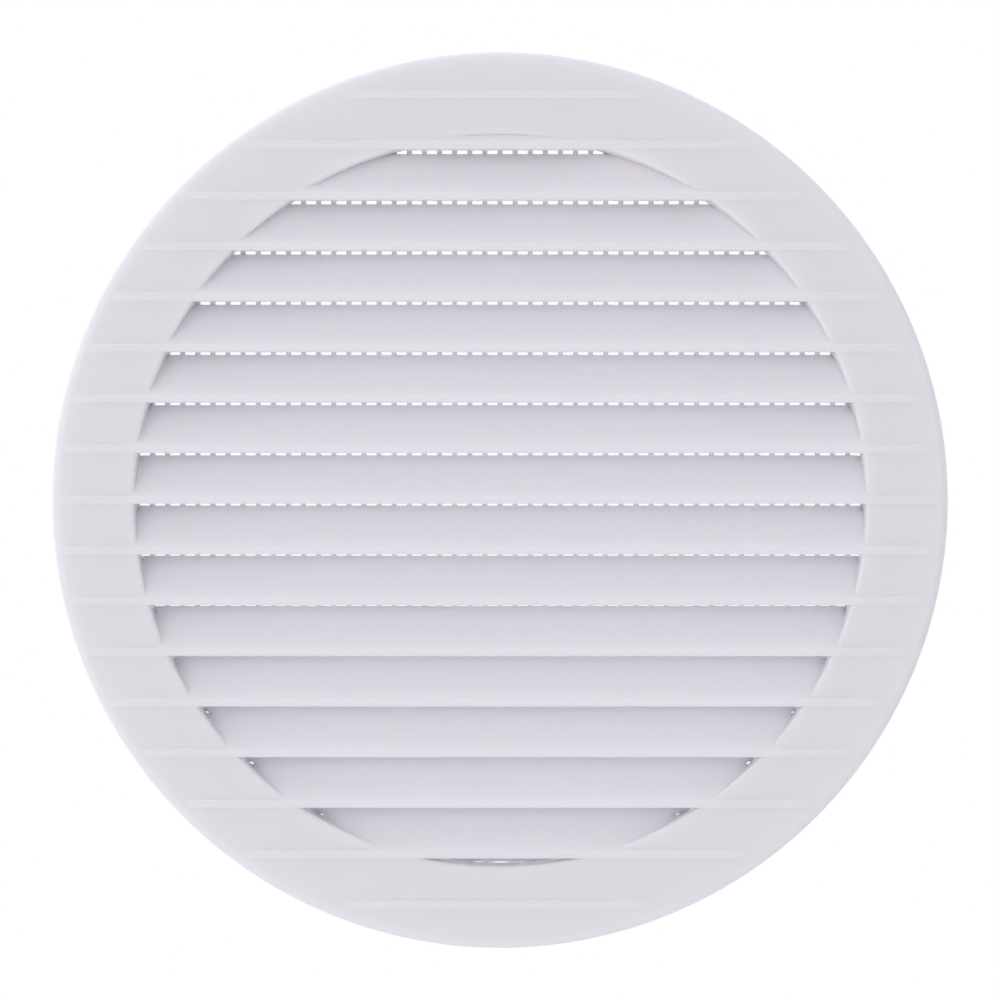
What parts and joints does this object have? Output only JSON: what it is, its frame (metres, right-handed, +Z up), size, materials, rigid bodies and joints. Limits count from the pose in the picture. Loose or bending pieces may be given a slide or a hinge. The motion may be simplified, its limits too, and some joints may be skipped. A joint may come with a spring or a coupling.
{
  "type": "round louvred vent grille",
  "caption": "Round white plastic vent grille with fixed downward louvres that run on over the rim, an insect screen behind them, and a duct collar with spring leaves.",
  "frame": {"origin": "on the duct's axis, in the plane of the wall that the rim's back edge rests on", "axes": "+Y into the duct, away from the face's front; +Z up, with the louvres' rear edges higher than their front lips; +X to the right seen from the front"},
  "size_m": [0.18, 0.0305, 0.18],
  "materials": {
    "white_abs": "satin moulded white ABS",
    "screen_white": "satin moulded white polypropylene",
    "collar_white": "matt moulded white ABS",
    "zinc_plate": "bright zinc-plated steel",
    "spring_steel": "rolled stainless spring strip",
    "rivet_aluminium": "plain aluminium"
  },
  "bodies": {
    "vent": {"louvre_face": "white_abs", "insect_screen": "screen_white", "duct_collar": "collar_white", "retaining_ring": "collar_white", "ring_screw_1": "zinc_plate", "ring_screw_2": "zinc_plate", "ring_screw_3": "zinc_plate", "ring_screw_4": "zinc_plate", "leaf_rivet_1a": "rivet_aluminium", "leaf_rivet_1b": "rivet_aluminium", "leaf_rivet_2a": "rivet_aluminium", "leaf_rivet_2b": "rivet_aluminium", "leaf_rivet_3a": "rivet_aluminium", "leaf_rivet_3b": "rivet_aluminium", "leaf_rivet_4a": "rivet_aluminium", "leaf_rivet_4b": "rivet_aluminium"},
    "leaf_1": {"spring_leaf_1": "spring_steel"},
    "leaf_2": {"spring_leaf_2": "spring_steel"},
    "leaf_3": {"spring_leaf_3": "spring_steel"},
    "leaf_4": {"spring_leaf_4": "spring_steel"}
  },
  "joints": [
    {"name": "leaf_flex_1", "type": "hinge", "parent": "vent", "child": "leaf_1", "pos_m": [0.0769, 0.0122, 0], "axis": [0, 0, -1], "range_deg": [0, 18], "stiffness_Nm_per_rad": 0.05, "deforming": ["spring_leaf_1"]},
    {"name": "leaf_flex_2", "type": "hinge", "parent": "vent", "child": "leaf_2", "pos_m": [0, 0.0122, 0.0769], "axis": [1, 0, 0], "range_deg": [0, 18], "stiffness_Nm_per_rad": 0.05, "deforming": ["spring_leaf_2"]},
    {"name": "leaf_flex_3", "type": "hinge", "parent": "vent", "child": "leaf_3", "pos_m": [-0.0769, 0.0122, 0], "axis": [0, 0, 1], "range_deg": [0, 18], "stiffness_Nm_per_rad": 0.05, "deforming": ["spring_leaf_3"]},
    {"name": "leaf_flex_4", "type": "hinge", "parent": "vent", "child": "leaf_4", "pos_m": [0, 0.0122, -0.0769], "axis": [-1, 0, 0], "range_deg": [0, 18], "stiffness_Nm_per_rad": 0.05, "deforming": ["spring_leaf_4"]}
  ]
}
